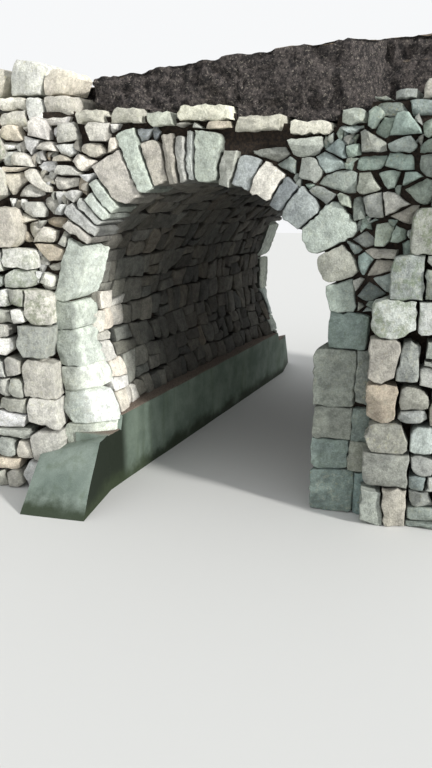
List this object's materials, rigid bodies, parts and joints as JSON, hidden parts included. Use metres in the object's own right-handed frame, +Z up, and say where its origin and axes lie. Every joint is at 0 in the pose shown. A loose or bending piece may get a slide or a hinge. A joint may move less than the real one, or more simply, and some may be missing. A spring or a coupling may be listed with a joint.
{
  "type": "stone arch bridge",
  "caption": "Small skewed rubble-stone arch bridge with a voussoir ring, barrel vault, buttressed walls, concrete ledge along the channel, broken parapets and bare earth track.",
  "frame": {"origin": "middle of the plan at the water line, where the walls end", "axes": "+X along the wall faces, to the right as seen from the front; +Y back through the arch, square to the faces; +Z up"},
  "size_m": [6.2376, 6.2, 4.3545],
  "materials": {
    "ring_stone": "rough weathered sandstone with lichen",
    "wall_rubble": "rough dry-laid rubble with soil in the joints",
    "vault_rubble": "rough, dark and damp",
    "squared_stone": "rough squared blocks",
    "concrete": "smooth concrete with green algae",
    "earth": "dark packed earth"
  },
  "bodies": {
    "root": {"crown_fill": "earth", "earth_track": "earth", "front_coping_slabs": "squared_stone", "front_left_buttress": "wall_rubble", "front_left_parapet": "wall_rubble", "front_left_spandrel": "wall_rubble", "front_pier_apron": "concrete", "front_right_buttress": "wall_rubble", "front_right_parapet": "wall_rubble", "front_right_spandrel": "wall_rubble", "front_voussoir_01": "ring_stone", "front_voussoir_02": "ring_stone", "front_voussoir_03": "ring_stone", "front_voussoir_04": "ring_stone", "front_voussoir_05": "ring_stone", "front_voussoir_06": "ring_stone", "front_voussoir_07": "ring_stone", "front_voussoir_08": "ring_stone", "front_voussoir_09": "ring_stone", "front_voussoir_10": "ring_stone", "front_voussoir_11": "ring_stone", "front_voussoir_12": "ring_stone", "front_voussoir_13": "ring_stone", "front_voussoir_14": "ring_stone", "front_voussoir_15": "ring_stone", "front_voussoir_16": "ring_stone", "front_voussoir_17": "ring_stone", "front_voussoir_18": "ring_stone", "front_voussoir_19": "ring_stone", "front_voussoir_20": "ring_stone", "front_voussoir_21": "ring_stone", "left_abutment": "wall_rubble", "left_channel_ledge": "concrete", "left_haunch_backing": "wall_rubble", "rear_arch_ring": "ring_stone", "rear_coping_slabs": "squared_stone", "rear_left_buttress": "wall_rubble", "rear_left_parapet": "wall_rubble", "rear_left_spandrel": "wall_rubble", "rear_pier_apron": "concrete", "rear_right_buttress": "wall_rubble", "rear_right_parapet": "wall_rubble", "rear_right_spandrel": "wall_rubble", "right_abutment": "wall_rubble", "right_channel_plinth": "squared_stone", "right_haunch_backing": "wall_rubble", "vault_crown": "vault_rubble", "vault_left_haunch": "vault_rubble", "vault_left_shoulder": "vault_rubble", "vault_left_springing": "vault_rubble", "vault_right_haunch": "vault_rubble", "vault_right_shoulder": "vault_rubble", "vault_right_springing": "vault_rubble"}
  },
  "joints": []
}
